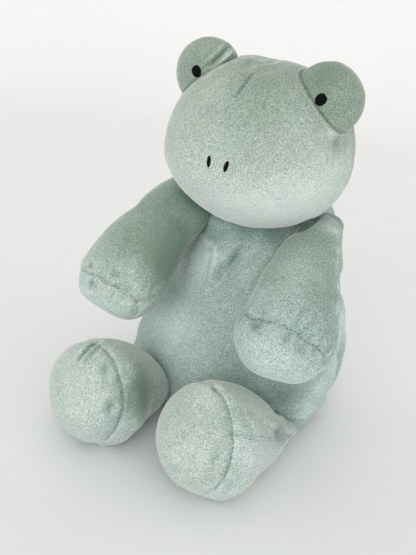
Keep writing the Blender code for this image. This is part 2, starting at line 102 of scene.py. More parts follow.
def studio(right, ahead):
    """Soft light from the camera's side, a pale floor that sweeps up behind, and a white surround."""
    up = Vector(UP)
    soft_lamp("key_lamp", ahead * 0.86 + right * 0.30 - up * 0.16, 1.3, 50, (1.0, 0.98, 0.97))
    soft_lamp("top_lamp", ahead * 0.20 - right * 0.15 - up, 0.25, 60, (1.0, 0.97, 0.88))
    world = bpy.data.worlds.new("studio_light")
    world.use_nodes = True
    bpy.context.scene.world = world
    tree = world.node_tree
    tree.nodes.clear()
    fill = add_node(tree, "ShaderNodeBackground", {"Color": (0.955, 0.99, 1.0, 1), "Strength": 0.71})
    white = add_node(tree, "ShaderNodeBackground", {"Strength": 1.0})
    path = add_node(tree, "ShaderNodeLightPath").outputs
    seen = math_node(tree, "MAXIMUM", path["Is Camera Ray"], path["Is Glossy Ray"])
    seen = math_node(tree, "MAXIMUM", seen, path["Is Transmission Ray"])
    mix = add_node(tree, "ShaderNodeMixShader", {0: seen, 1: fill.outputs[0], 2: white.outputs[0]})
    add_node(tree, "ShaderNodeOutputWorld", {"Surface": mix.outputs[0]})
    floor_sweep(right, ahead)
    bpy.context.scene.view_settings.view_transform = "Standard"


def floor_sweep(right, ahead):
    """A plain pale sheet that lies under the frog and curves up far behind it."""
    profile = [(-6.0, 0.0), (1.6, 0.0)]
    profile += [(1.6 + 0.9 * math.sin(a), 0.9 - 0.9 * math.cos(a)) for a in np.linspace(0.06, 1.5, 24)]
    profile.append((2.5, 6.0))
    places = [ahead * y + right * x + Vector((0, 0, z)) for y, z in profile for x in (-7.0, 7.0)]
    faces = [(2 * i, 2 * i + 1, 2 * i + 3, 2 * i + 2) for i in range(len(profile) - 1)]
    mesh = bpy.data.meshes.new("floor_sweep")
    mesh.from_pydata([p[:] for p in places], [], faces)
    mesh.shade_smooth()
    mesh.materials.append(floor_paint())
    add_object("floor_sweep", mesh)


# ---- shader helpers

def link(tree, source, socket):
    """Joins a socket to another, or writes a plain value into it."""
    if isinstance(source, bpy.types.NodeSocket):
        tree.links.new(source, socket)
    else:
        socket.default_value = source


def add_node(tree, kind, sources=None, **settings):
    """A node with its settings, and with sources or plain values for its sockets."""
    node = tree.nodes.new(kind)
    for name, value in settings.items():
        setattr(node, name, value)
    for name, source in (sources or {}).items():
        link(tree, source, node.inputs[name])
    return node


def math_node(tree, operation, *values, clamp=False):
    sources = dict(enumerate(values))
    return add_node(tree, "ShaderNodeMath", sources, operation=operation, use_clamp=clamp).outputs[0]


def noise_node(tree, place, scale, detail=2.0, roughness=0.5, distortion=0.0):
    sources = {"Vector": place, "Scale": scale, "Detail": detail, "Roughness": roughness, "Distortion": distortion}
    return add_node(tree, "ShaderNodeTexNoise", sources).outputs["Fac"]


def range_node(tree, value, low, high, to_low=0.0, to_high=1.0):
    sources = dict(enumerate((value, low, high, to_low, to_high)))
    return add_node(tree, "ShaderNodeMapRange", sources).outputs[0]


def mix_colours(tree, share, first, second, blend="MIX"):
    sources = {0: share, 6: first, 7: second}
    return add_node(tree, "ShaderNodeMix", sources, data_type="RGBA", blend_type=blend).outputs[2]


def tinted(tree, share, colour, tint):
    """A colour that is multiplied by a tint, by this share."""
    return mix_colours(tree, share, colour, mix_colours(tree, 1.0, colour, tint, "MULTIPLY"))


def new_group(name, inputs, outputs):
    """A shader node group with named sockets, and its inner input and output nodes."""
    group = bpy.data.node_groups.new(name, "ShaderNodeTree")
    for label, kind, value in inputs:
        socket = group.interface.new_socket(label, in_out="INPUT", socket_type=kind)
        if value is not None:
            socket.default_value = value
    for label, kind in outputs:
        group.interface.new_socket(label, in_out="OUTPUT", socket_type=kind)
    entry = group.nodes.new("NodeGroupInput")
    leave = group.nodes.new("NodeGroupOutput")
    return group, entry.outputs, leave.inputs


def new_finish(name, values):
    """A material, its tree and its shader, with plain values on the shader's own sockets."""
    material = bpy.data.materials.new(name)
    material.use_nodes = True
    shader = material.node_tree.nodes["Principled BSDF"]
    for socket, value in values.items():
        shader.inputs[socket].default_value = value
    return material, material.node_tree, shader


def object_place(tree):
    return add_node(tree, "ShaderNodeTexCoord").outputs["Object"]


def add_bump(tree, height, strength, distance, shader):
    bump = add_node(tree, "ShaderNodeBump", {"Strength": strength, "Distance": distance, "Height": height})
    link(tree, bump.outputs["Normal"], shader.inputs["Normal"])


def attribute_node(tree, name):
    return add_node(tree, "ShaderNodeAttribute", attribute_name=name).outputs["Fac"]


def floor_paint():
    material, tree, shader = new_finish("floor_paint", {"Roughness": 0.85, "Specular IOR Level": 0.1})
    patches = range_node(tree, noise_node(tree, object_place(tree), 1.4, 3.0), 0.3, 0.7)
    colour = mix_colours(tree, patches, (0.86, 0.855, 0.845, 1), (0.88, 0.875, 0.865, 1))
    link(tree, colour, shader.inputs["Base Color"])
    return material


# ---- velour

FLOAT, COLOUR, VECTOR = "NodeSocketFloat", "NodeSocketColor", "NodeSocketVector"


def pile_tone(group, given, fleck, clump):
    """How pale the pile is, from 0 to 1: the way the pile lies together with painted light and shade, and its flecks,
    clumps and patches left by brushing.
    """
    patch = range_node(group, noise_node(group, given["Place"], 34.0, 2.0, 0.5, 0.4), 0.3, 0.7, -1.0, 1.0)
    tone = math_node(group, "MULTIPLY_ADD", fleck, given["Fleck strength"], given["Nap_and_shade"])
    tone = math_node(group, "MULTIPLY_ADD", clump, 0.045, tone)
    return math_node(group, "MULTIPLY_ADD", patch, 0.03, tone)


def seam_line(group, given):
    """How strongly the line of a seam shows, here wider and there narrower."""
    gap = math_node(group, "ABSOLUTE", given["Seam"])
    breaks = noise_node(group, given["Place"], 420.0, 1.0)
    width = range_node(group, breaks, 0.40, 0.62, 0.15 * MM, 0.75 * MM)
    line = math_node(group, "SUBTRACT", 1.0, math_node(group, "DIVIDE", gap, width), clamp=True)
    return math_node(group, "MULTIPLY", line, 0.6)


def pile_group():
    """Short velour pile: fine flecks, small clumps, patches left by brushing, the way the pile lies with painted
    light and shade, painted shade in creases, a painted reflected-light hue and a seam line.
    """
    sockets = [("Place", VECTOR, None), ("Nap_and_shade", FLOAT, 0.5), ("Crease_shade", FLOAT, 0.0), ("Seam", FLOAT, 1.0)]
    sockets += [("Reflection_hue", FLOAT, 0.0), ("Fleck size", FLOAT, 0.001), ("Fleck strength", FLOAT, 0.2)]
    sockets += [(name, COLOUR, None) for name in ("Deep", "Middle", "Pale", "Crease_shade_colour")]
    group, given, out = new_group("velour_pile", sockets, [("Colour", COLOUR), ("Height", FLOAT)])
    flecks_per_metre = math_node(group, "DIVIDE", 1.0, given["Fleck size"])
    tufts = add_node(group, "ShaderNodeTexVoronoi", {"Vector": given["Place"], "Scale": flecks_per_metre}).outputs
    shade = add_node(group, "ShaderNodeSeparateColor", {0: tufts["Color"]})
    fleck = range_node(group, shade.outputs[0], 0.0, 1.0, -1.0, 1.0)
    clump = range_node(group, noise_node(group, given["Place"], 620.0, 2.0, 0.6, 0.3), 0.3, 0.7, -1.0, 1.0)
    tone = pile_tone(group, given, fleck, clump)
    colour = mix_colours(group, range_node(group, tone, 0.0, 0.5), given["Deep"], given["Middle"])
    colour = mix_colours(group, range_node(group, tone, 0.5, 1.0), colour, given["Pale"])
    # Painted shade: creases, seam valleys and the places where skins meet are multiplied towards the crease shade
    # colour.
    colour = tinted(group, given["Crease_shade"], colour, given["Crease_shade_colour"])
    # Painted reflected light: a warmer or a cooler hue multiplied into the colour.
    reflection_hue = math_node(group, "MULTIPLY_ADD", given["Reflection_hue"], 0.5, 0.5)
    reflection_hue = mix_colours(group, reflection_hue, (1.05, 1.0, 0.93, 1), (0.93, 1.0, 1.09, 1))
    colour = mix_colours(group, 1.0, colour, reflection_hue, "MULTIPLY")
    link(group, tinted(group, seam_line(group, given), colour, (0.22, 0.30, 0.27, 1)), out["Colour"])
    height = math_node(group, "MULTIPLY", clump, 0.3)
    link(group, math_node(group, "MULTIPLY_ADD", tufts["Distance"], -1.0, height), out["Height"])
    return group


def velour_finish(group):
    material, tree, shader = new_finish("velour", {
        "Roughness": 0.92, "Sheen Weight": 0.8, "Sheen Roughness": 0.35, "Sheen Tint": (1.0, 0.96, 0.95, 1),
        "Specular IOR Level": 0.12,
    })
    # Crease_shade_colour is the painted shade in creases, seam valleys and where skins meet.
    pile = add_node(tree, "ShaderNodeGroup", {
        "Place": object_place(tree),
        **{name: attribute_node(tree, name.lower()) for name in ("Nap_and_shade", "Crease_shade", "Seam", "Reflection_hue")},
        "Deep": (0.185, 0.255, 0.203, 1), "Middle": (0.392, 0.474, 0.412, 1), "Pale": (0.760, 0.828, 0.782, 1),
        "Crease_shade_colour": (0.36, 0.56, 0.54, 1), "Fleck size": 0.45 * MM, "Fleck strength": 0.37,
    }, node_tree=group)
    link(tree, pile.outputs["Colour"], shader.inputs["Base Color"])
    add_bump(tree, pile.outputs["Height"], 0.5, 0.25 * MM, shader)
    return material


def thread_finish(name, dark, light, roughness):
    """Twisted thread: fine light and dark strands."""
    material, tree, shader = new_finish(name, {"Roughness": roughness, "Specular IOR Level": 0.06})
    strands = range_node(tree, noise_node(tree, object_place(tree), 2600.0, 2.0, 0.6), 0.35, 0.7)
    link(tree, mix_colours(tree, strands, dark, light), shader.inputs["Base Color"])
    add_bump(tree, strands, 0.3, 0.05 * MM, shader)
    return material


# ---- forms, as the solids have them

TORSO_ROWS = (
    (0, 0, 1, 0.03), (0, 0.6, 1, 0.03), (0.045, 0.89, 1, 0.03), (0.17, 0.99, 1, 0.12),
    (0.34, 0.95, 0.9, 0.27), (0.54, 0.79, 0.45, 0.44), (0.74, 0.65, 0, 0.55), (0.92, 0.44, 0, 0.56),
    (1, 0, 0, 0.56),
)
HEAD_ROWS = (
    (0, 0, 1, 0), (0.045, 0.42, 1, -0.02), (0.18, 0.8, 1, -0.04), (0.36, 0.99, 1, -0.04),
    (0.56, 0.985, 1, -0.02), (0.75, 0.87, 1, 0), (0.9, 0.64, 1, 0.02), (0.98, 0.34, 1, 0.02),
    (1, 0, 1, 0),
)
POD_ROWS = tuple((share, width, 1, 0) for share, width in (
    (0, 0), (0.06, 0.55), (0.2, 0.88), (0.38, 1), (0.56, 0.98), (0.74, 0.85), (0.89, 0.61),
    (0.97, 0.32), (1, 0),
))
ARM_LEFT_ROWS = tuple((*row, 0) for row in (
    (0, 0, 1), (0.03, 0.38, 1), (0.13, 0.46, 1.1), (0.3, 0.57, 1.1), (0.5, 0.735, 1),
    (0.7, 0.91, 0.95), (0.87, 1, 1), (0.98, 0.61, 1), (1, 0, 1),
))
ARM_RIGHT_ROWS = tuple((*row, 0) for row in (
    (0, 0, 1), (0.03, 0.47, 0.95), (0.13, 0.67, 0.9), (0.3, 0.81, 0.88), (0.5, 0.89, 0.9),
    (0.7, 1.03, 0.88), (0.87, 1.1, 0.9), (0.98, 0.72, 1), (1, 0, 1),
))
LEG_ROWS = tuple((*row, 0) for row in (
    (0, 0, 1), (0.02, 0.5, 1), (0.12, 0.66, 0.95), (0.26, 0.76, 0.7), (0.42, 0.91, 0.3),
    (0.57, 0.93, 0.05), (0.75, 0.98, 0), (0.93, 0.55, 0), (1, 0, 0),
))


def unit(vectors):
    return vectors / np.linalg.norm(vectors, axis=-1, keepdims=True)


def between(a, b, c, d, step):
    """A smooth line's places from b to c, with a before them and d after them."""
    return b + 0.5 * step * (c - a + step * (2 * a - 5 * b + 4 * c - d + step * (3 * b - 3 * c + d - a)))


class Form:
    """A sphere drawn out along a spine, the shape that the solids have."""

    def __init__(self, start, reach, side, half_width, half_depth, rows, bend=np.zeros(3)):
        self.start, self.reach = np.array(start, float), np.array(reach, float)
        side = np.array(side, float)
        self.side = unit(side - self.reach * side.dot(self.reach) / self.reach.dot(self.reach))
        self.depth = unit(np.cross(self.reach, self.side))
        self.along = unit(self.reach)
        self.half_width, self.half_depth = half_width, half_depth
        before, after = ((share, -width, *rest) for share, width, *rest in (rows[1], rows[-2]))
        self.rows = np.array([before, *rows, after])
        self.bend = np.array(bend, float) - self.side * np.dot(bend, self.side)

    def row(self, turn):
        last = len(self.rows) - 3
        first = np.clip((turn * last).astype(int), 0, last - 1)
        step = (turn * last - first)[:, None]
        return between(*(self.rows[first + i] for i in range(4)), step)

    def spine(self, share):
        share = np.asarray(share, float)[..., None]
        return self.start + self.reach * share + self.bend * (4 * share * (1 - share))

    def square(self, share):
        """The direction of the form's depth, square to the spine where it bows."""
        share = np.asarray(share, float)[..., None]
        return unit(np.cross(self.reach + self.bend * (4 * (1 - 2 * share)), self.side))

    def points(self, turn, across, outwards):
        share, width, flat, lean = self.row(np.atleast_1d(turn)).T
        half_depth = self.half_width + (self.half_depth - self.half_width) * flat
        sideways = self.side * (across * width * self.half_width)[:, None]
        upright = (lean * self.half_depth + outwards * width * half_depth)[:, None]
        return self.spine(share) + sideways + self.square(share) * upright

    def wrap(self, directions):
        """The form's surface for directions of a ball whose pole is the far end."""
        turn = np.arccos(np.clip(-directions[:, 2], -1, 1)) / math.pi
        angle = np.arctan2(directions[:, 1], directions[:, 0])
        places = self.points(turn, np.cos(angle), np.sin(angle))
        places[:, 2] = np.maximum(places[:, 2], 0.0)
        return places

    def share_of(self, places):
        """How far along the reach places lie, from 0 to 1."""
        return (places - self.start) @ self.reach / self.reach.dot(self.reach)


# The solids' own sizes
TORSO_HEIGHT, TORSO_HALF_WIDTH, TORSO_HALF_DEPTH, TORSO_DOME_RADIUS = 0.203, 0.095, 0.077, 0.062
NECK_TILT, NECK_REACH, HEAD_LEAN = math.radians(29), 0.0965, math.radians(3.5)
HEAD_HEIGHT, HEAD_HALF_WIDTH, HEAD_HALF_DEPTH = 0.125, 0.073, 0.065
POD_LENGTH, POD_HALF_WIDTH, POD_HALF_DEPTH, POD_ROOT, POD_SPLAY = 0.045, 0.026, 0.017, 0.014, math.radians(40)
ARM_LENGTH, ARM_HALF_WIDTH, ARM_HALF_DEPTH = 0.150, 0.0355, 0.0245
LEG_LENGTH, LEG_RISE, LEG_HALF_WIDTH, LEG_HALF_DEPTH, LEG_BEND = 0.1305, 0.0295, 0.0413, 0.0115, 0.006

TORSO = Form((0, 0, 0), UP * TORSO_HEIGHT, LEFT, TORSO_HALF_WIDTH, TORSO_HALF_DEPTH, TORSO_ROWS)
DOME = TORSO.points(1.0, 0, 0)[0] - UP * TORSO_DOME_RADIUS
NECK = UP * math.cos(NECK_TILT) - BACK * math.sin(NECK_TILT)
NECK_TURNS = (-25, -13, 13, 25, 0)


def head_form():
    upwards = UP * math.cos(HEAD_LEAN) + LEFT * math.sin(HEAD_LEAN)
    start = DOME + NECK * NECK_REACH - upwards * (HEAD_HEIGHT / 2)
    return Form(start, upwards * HEAD_HEIGHT, LEFT, HEAD_HALF_WIDTH, HEAD_HALF_DEPTH, HEAD_ROWS)


def pod_form(head, hand):
    """An eye pod on the head's upper corner. hand is 1 on the left and -1 on the right."""
    out = head.along * math.cos(POD_SPLAY) + head.side * (hand * math.sin(POD_SPLAY))
    base = head.spine(0.82) + head.side * (hand * 0.612 * HEAD_HALF_WIDTH) - head.depth * (0.168 * HEAD_HALF_DEPTH)
    side = head.side * math.cos(POD_SPLAY) - head.along * (hand * math.sin(POD_SPLAY))
    return Form(base - out * POD_ROOT, out * POD_LENGTH, side, POD_HALF_WIDTH, POD_HALF_DEPTH, POD_ROWS)


def shoulder(hand):
    return TORSO.points(0.80, hand, 0)[0]


def arm_form(hand, setback, rise, turns, rows, bend):
    drop, spread, twist = (math.radians(turn) for turn in turns)
    level = LEFT * (hand * math.sin(spread)) - BACK * math.cos(spread)
    direction = level * math.cos(drop) - UP * math.sin(drop)
    side = LEFT * math.cos(twist) + UP * (hand * math.sin(twist))
    start = shoulder(hand) - BACK * setback - LEFT * (hand * 0.001) + UP * rise
    return Form(start, direction * ARM_LENGTH, side, ARM_HALF_WIDTH, ARM_HALF_DEPTH, rows, bend=UP * bend)


def hip(hand):
    across = 0.73
    return TORSO.points(0.215, hand * across, -math.sqrt(1 - across**2))[0]


def leg_form(hand, converge_deg):
    converge = math.radians(converge_deg)
    level = -LEFT * (hand * math.sin(converge)) - BACK * math.cos(converge)
    start = hip(hand) * (1, 1, 0) - level * 0.014 + UP * 0.0115
    reach = level * LEG_LENGTH + UP * LEG_RISE
    return Form(start, reach, LEFT, LEG_HALF_WIDTH, LEG_HALF_DEPTH, LEG_ROWS, bend=UP * LEG_BEND)


HEAD = head_form()
PODS = {side: pod_form(HEAD, hand) for side, hand in SIDES}
ARMS = {
    "left": arm_form(1, 0.0115, 0.0015, (33, 8, -3), ARM_LEFT_ROWS, 0.021),
    "right": arm_form(-1, 0.011, 0.0105, (37, 12.5, -7), ARM_RIGHT_ROWS, 0.0175),
}
LEGS = {"left": leg_form(1, 11), "right": leg_form(-1, 3)}

# The seams across the hands' upper faces, in millimetres, and the planes of the sole seams: a place and a facing.
HAND_CROSSINGS = {
    "left": [
        (41, -83, 121.4), (51.5, -92.3, 124.1), (61.5, -92, 126.3), (70.4, -91.7, 127.1),
        (81.3, -90.4, 125.2), (91.2, -88.1, 120.3), (102.3, -80.5, 110.5),
    ],
    "right": [
        (-106.4, -81.7, 111.8), (-78.6, -94.9, 116.7), (-61.6, -94.1, 113.6), (-51.3, -92.6, 110.4),
        (-45, -88, 103.8),
    ],
}
SOLE_PLANES = {
    "left": ((59.5, -132.9, 57.1), (-0.518, -0.825, 0.226)),
    "right": ((-31.1, -130.3, 56.5), (-0.298, -0.938, 0.177)),
}


# ---- seams

def plane_seam(place, facing):
    """How far points lie ahead of a seam's plane, and the way across it."""
    facing = unit(np.array(facing, float))
    return lambda points: ((points - place) @ facing, np.tile(facing, (len(points), 1)))


def ends_at(seam, border, ahead=True):
    """A seam that stops where it meets another one: beyond it, the distance grows from the meeting."""
    def measure(points):
        distance, across = seam(points)
        beyond = np.maximum(border(points)[0] * (1 if ahead else -1), 0)
        return np.sign(distance + 1e-12) * np.hypot(distance, beyond), across
    return measure


def smooth_line(places, steps=6):
    """A smooth line through places given in millimetres."""
    line = np.array(places, float) * MM
    line = np.concatenate([2 * line[:1] - line[1:2], line, 2 * line[-1:] - line[-2:-1]])
    t = np.linspace(0, 1, steps, endpoint=False)[:, None]
    parts = [between(*four, t) for four in zip(line, line[1:], line[2:], line[3:])]
    return np.concatenate([*parts, line[-2:-1]])


def line_seam(line):
    """The distance from a drawn line, and the way across it."""
    def measure(points):
        best = np.full(len(points), 1.0)
        across = np.zeros_like(points)
        for start, end in zip(line[:-1], line[1:]):
            step = end - start
            part = np.clip((points - start) @ step / (step @ step), 0, 1)
            gap = points - start - part[:, None] * step
            far = np.linalg.norm(gap, axis=1)
            closer = far < best
            best = np.where(closer, far, best)
            across = np.where(closer[:, None], gap, across)
        return best, across / np.maximum(best, 1e-9)[:, None]
    return measure


def hand_seams(side, hand):
    """The seam across the hand's upper face, and the fainter seams along the arm's sides up to it."""
    arm, turns = ARMS[side], np.linspace(0.14, 0.55, 7)
    inner, outer = (arm.points(turns, way, 0) / MM for way in (-hand, hand))
    crossing = HAND_CROSSINGS[side][::hand]
    lines = ((crossing, 0.9), ([*inner, crossing[0]], 0.1), ([crossing[-1], *outer[::-1]], 0.25))
    return [(laid_seam(arm, 30, line), strength, strength) for line, strength in lines]


def leg_seams(side):
    leg, climb = LEGS[side], math.radians(15)
    place, facing = SOLE_PLANES[side]
    sole = plane_seam(np.array(place) * MM, facing)
    lengthwise = plane_seam(leg.spine(0.22), leg.depth * math.cos(climb) - leg.along * math.sin(climb))
    faint = 0.35 if side == "left" else 0.12
    return [(sole, 0.55, 0.8), (ends_at(lengthwise, sole), faint, faint * 1.6)]


def laid_seam(form, count, line):
    """A seam along places in millimetres that are first laid on a form."""
    surface = form_tree(form, count)
    return line_seam(np.array([surface.find_nearest(Vector(place))[0] for place in smooth_line(line, 4)]))


def head_seams():
    middle = plane_seam(HEAD.spine(0.5) + HEAD.depth * 0.0065, HEAD.depth)
    return [(middle, 0.8, 0.8), (laid_seam(HEAD, 40, DART), 0.6, 3.0)]


def torso_seams():
    seat = TORSO.points(0.0, 0, 0)[0]
    base = plane_seam(UP * 0.010, UP)
    side = plane_seam(seat, np.cross(DOME - seat, LEFT))
    return [(base, 1.0, 1.0), (ends_at(side, base, ahead=False), 1.0, 1.0)]


# ---- folds and dents that the stuffing leaves

# Lines in millimetres on a skin, with the groove's half width and depth in millimetres (below zero, a ridge).
TORSO_FOLDS = [
    ([(-35.5, -15.7, 139.7), (-15.4, -23.3, 139.9), (-13.6, -29.5, 123), (-14, -34, 108)], 4, -3.4),
    ([(9, -17, 147), (2, -22, 136), (-4, -27, 122), (-6, -31, 112)], 4, 3.8),
    ([(-39.8, -4.7, 147.5), (-20.1, -15, 148.7), (-0.4, -15.3, 153.1)], 4, 2.8),
    ([(59.6, -44.4, 40.6), (68.2, -38.7, 37.4), (76.9, -31.6, 31.5)], 6, 3),
    ([(65.7, -46, 24.2), (74.9, -37.7, 21.6)], 4, 2.6),
]
DART = [(2.2, -37.9, 278.6), (1.7, -45.9, 272.3), (0.5, -52.3, 265), (-0.1, -54.9, 262)]
HEAD_FOLDS = [
    ([(0.5, -52.3, 265), (-0.1, -57, 259)], 5, 0.8),
    ([(57.7, -34.1, 243.7), (63.4, -25.8, 241.3), (69.9, -9, 234.6)], 5, 2.2),
    ([(-2, -70.4, 206.7), (-3.4, -62.1, 190.6)], 1.2, 0.5),
]
POD_RIGHT_FOLDS = [
    ([(-36, -32, 272), (-28.9, -26.4, 281.9), (-26, -21.9, 286.5), (-25, -14, 291)], 2, -2),
    ([(-38, -31.5, 276), (-32.6, -28.9, 282.8), (-29.2, -24.2, 288.1), (-29.7, -13.2, 293.3)], 2, 2.2),
]
LEG_RIGHT_FOLDS = [
    ([(-60.8, -113.5, 76.7), (-59.3, -128.1, 73.4), (-59.9, -138.3, 67.7)], 1.6, 2.2),
    ([(-57, -117, 77.2), (-55.5, -129, 74), (-56, -138, 68.5)], 1.8, -1.2), ([(-38, -131.6, 68.8)], 4.5, 2),
    ([(-25.7, -141.2, 46.8)], 4.5, 2),
]
LEG_LEFT_FOLDS = [
    ([(63.1, -147.3, 48.5)], 4, 1.2), ([(63.3, -148.6, 30.1)], 4, 1.2), ([(38.9, -156.8, 33.2)], 4.5, 1),
    ([(42.6, -115.6, 76.7)], 3, 1.6),
    ([(77, -100.9, 56.4), (80.6, -95.7, 53.3), (84.5, -75, 40), (85.2, -53.1, 25.7)], 1.9, -1.7),
    ([(79, -102, 51), (83.7, -87.2, 41.9), (86.5, -72, 33), (84, -50, 20)], 3.2, 2.8),
]
ARM_LEFT_FOLDS = [
    ([(55.3, -92.7, 122.6), (53.2, -93.8, 119.8)], 2.6, 3.4), ([(79, -94, 121.5), (76, -95.4, 118)], 2.2, 1.6),
    ([(90.2, -92, 115), (86.8, -93.6, 110.8)], 2.2, 1.6),
    ([(71.3, 1.6, 172.4), (83.7, -25.8, 158.8), (92.7, -45.4, 144), (99.3, -59.9, 128.1)], 1.8, -1.1),
    ([(43.3, -17.8, 165.7), (49.3, -12.2, 170.8), (52.2, 0.7, 174.3), (53.3, 17.9, 176.8)], 3.5, 3),
]
ARM_RIGHT_FOLDS = [
    ([(-93.2, -88.5, 120.6)], 2.6, 1.8), ([(-87.5, -93, 116), (-82.2, -96.3, 105.9)], 1.8, 2.6),
    ([(-63.7, -92.5, 122)], 3, 1.2),
]
SIDE_FOLDS = {
    "left": ((), ARM_LEFT_FOLDS, LEG_LEFT_FOLDS), "right": (POD_RIGHT_FOLDS, ARM_RIGHT_FOLDS, LEG_RIGHT_FOLDS),
}

# Where the pile is brushed paler or, below zero, deeper, and where shade and highlights are painted on it: places and
# reach in millimetres, change of paleness.
# The head's spots include a painted highlight band beside the left eye pod, with painted shade just below it.
HEAD_NAP_AND_SHADE = [
    ((15, -45, 272), 15, -0.08), ((29, -19, 280), 14, -0.04), ((-30, -61, 239), 24, 0.02),
    ((-18, -52, 264), 12, 0.1), ((64, -36, 208), 28, 0.34), ((28, -51, 185), 26, 0.28), ((4, -56, 190), 18, 0.14),
    ((-19, -70, 214), 18, 0.12), ((20, -62, 242), 20, -0.08), ((66, -27, 236), 12, -0.06),
    ((62, -27, 246), 5, 0.35), ((64, -23, 240), 5, -0.25), ((71, -19, 225), 10, 0.16), ((-26, -31, 279), 4, 0.25),
    ((-33, -38, 272), 3, 0.2),
]
POD_LEFT_NAP_AND_SHADE = [((50, -28, 283), 12, -0.32), ((62, -30, 262), 9, -0.12)]
POD_RIGHT_NAP_AND_SHADE = [((-26, -23, 286), 4, 0.3), ((-43, -32, 272), 16, -0.15)]
# The right arm's spots include painted shade on its inner side against the torso.
ARM_RIGHT_NAP_AND_SHADE = [
    ((-39, -64, 133), 16, -0.56), ((-40, -45, 151), 18, -0.28), ((-60, -37, 169), 16, -0.12),
    ((-93, -88, 121), 3, -0.25), ((-86, -94, 114), 3, -0.22), ((-84, -95, 109), 3, -0.22),
    ((-64, -92, 122), 4, -0.18), ((-77, -83, 134), 16, -0.06), ((-68, -70, 145), 12, -0.12),
]
# The left arm's spots include a painted highlight along its rear welt and painted shade in the groove at its root.
ARM_LEFT_NAP_AND_SHADE = [
    ((63, -2, 175), 14, 0.24), ((66, -56, 155), 22, 0.26), ((48, -76, 137), 12, 0.1), ((72, -2, 172), 5, 0.3),
    ((80, -18, 163), 5, 0.3), ((86, -31, 155), 5, 0.3), ((92, -44, 145), 5, 0.25), ((97, -55, 134), 5, 0.25),
    ((46, -15, 168), 4, -0.45), ((50, -6, 173), 5, -0.45), ((53, 8, 176), 6, -0.45), ((69, -101, 111), 14, 0.04),
    ((54, -93, 121), 3.5, -0.48), ((78, -95, 120), 4, -0.18), ((89, -93, 113), 4, -0.2), ((60, -5, 175), 12, 0.1),
]
# The torso's spots include painted shade under the chin and beside the arms, and painted highlights along its left
# side.
TORSO_NAP_AND_SHADE = [
    ((-30, -22, 124), 18, 0.42), ((-46, -43, 72), 28, 0.36), ((-21, -57, 59), 22, 0.26),
    ((-14, -26, 135), 5, 0.3), ((0, -22, 136), 7, -0.16), ((21, -30, 117), 26, 0.04), ((66, -41, 45), 13, -0.32),
    ((84, 31, 88), 20, 0.4), ((90, 6, 60), 14, 0.34), ((87, -14, 44), 9, 0.34), ((83, -26, 30), 9, 0.34),
    ((4, -16, 155), 8, -0.2), ((26, -9, 158), 9, -0.4), ((-39, -4, 152), 6, -0.4), ((70, 17, 165), 14, 0.3),
    ((-2, -40, 96), 16, 0.04), ((-21, -57, 59), 14, -0.14), ((-10, -21, 144), 9, 0.06),
]
LEG_RIGHT_NAP_AND_SHADE = [((-14, -123, 49), 14, -0.6), ((-44, -149, 58), 20, 0.12), ((-19, -110, 57), 14, -0.34)]
LEG_LEFT_NAP_AND_SHADE = [
    ((41, -125, 77), 14, 0.14), ((47, -146, 64), 18, 0), ((80, -128, 52), 12, 0.14), ((83, -88, 43), 6, -0.45),
    ((85, -80, 38), 6, -0.25),
]
SIDE_NAP_AND_SHADE = {
    "left": (POD_LEFT_NAP_AND_SHADE, ARM_LEFT_NAP_AND_SHADE, LEG_LEFT_NAP_AND_SHADE),
    "right": (POD_RIGHT_NAP_AND_SHADE, ARM_RIGHT_NAP_AND_SHADE, LEG_RIGHT_NAP_AND_SHADE),
}


def from_line(points, line):
    """How far points lie from a line of joined places, or from one place."""
    if len(line) == 1:
        return np.linalg.norm(points - line[0], axis=1)
    return line_seam(line)(points)[0]


def wander(points, size, seed):
    """Smooth random heights, from -1 to 1, that change over this size."""
    table = np.random.RandomState(seed).uniform(-1, 1, (32, 32, 32))
    cells = points / size + 100.0
    corner = np.floor(cells).astype(int)
    part = cells - corner
    part = part**3 * (part * (part * 6 - 15) + 10)
    total = np.zeros(len(points))
    for steps in np.ndindex(2, 2, 2):
        weight = np.prod(np.where(steps, part, 1 - part), axis=1)
        total += weight * table[tuple(((corner + steps) % 32).T)]
    return total


# ---- skins

def ball_grid(count):
    """Directions and four-sided faces of a cube blown up to a ball, with count faces along each edge."""
    t = np.tan(np.linspace(-1, 1, count + 1) * math.pi / 4)
    u, v = np.meshgrid(t, t, indexing="ij")
    one = np.ones_like(u)
    sides = [(one, u, v), (-one, v, u), (v, one, u), (u, -one, v), (u, v, one), (v, u, -one)]
    places = np.concatenate([np.stack(side, -1).reshape(-1, 3) for side in sides])
    i, j = (a.ravel() for a in np.meshgrid(range(count), range(count), indexing="ij"))
    row = count + 1
    quads = np.stack([i * row + j, (i + 1) * row + j, (i + 1) * row + j + 1, i * row + j + 1], -1)
    quads = np.concatenate([quads + side * row * row for side in range(6)])
    kept, merged = np.unique(np.round(unit(places), 7), axis=0, return_inverse=True)
    return kept, merged.ravel()[quads]


def mesh_of(name, points, faces):
    mesh = bpy.data.meshes.new(name)
    mesh.from_pydata(points.tolist(), [], [tuple(face) for face in faces.tolist()])
    mesh.update()
    return mesh


def read(items, field):
    """A row of three numbers for each item of a mesh's list."""
    values = np.empty(len(items) * 3, np.float32)
    items.foreach_get(field, values)
    return values.reshape(-1, 3).astype(float)


def places_of(mesh):
    return read(mesh.vertices, "co")


def set_places(mesh, places):
    mesh.vertices.foreach_set("co", places.astype(np.float32).ravel())
    mesh.update()


def normals_of(mesh):
    return read(mesh.vertex_normals, "vector")


def set_values(mesh, name, values):
    layer = mesh.attributes.get(name) or mesh.attributes.new(name, "FLOAT", "POINT")
    layer.data.foreach_set("value", values.astype(np.float32))


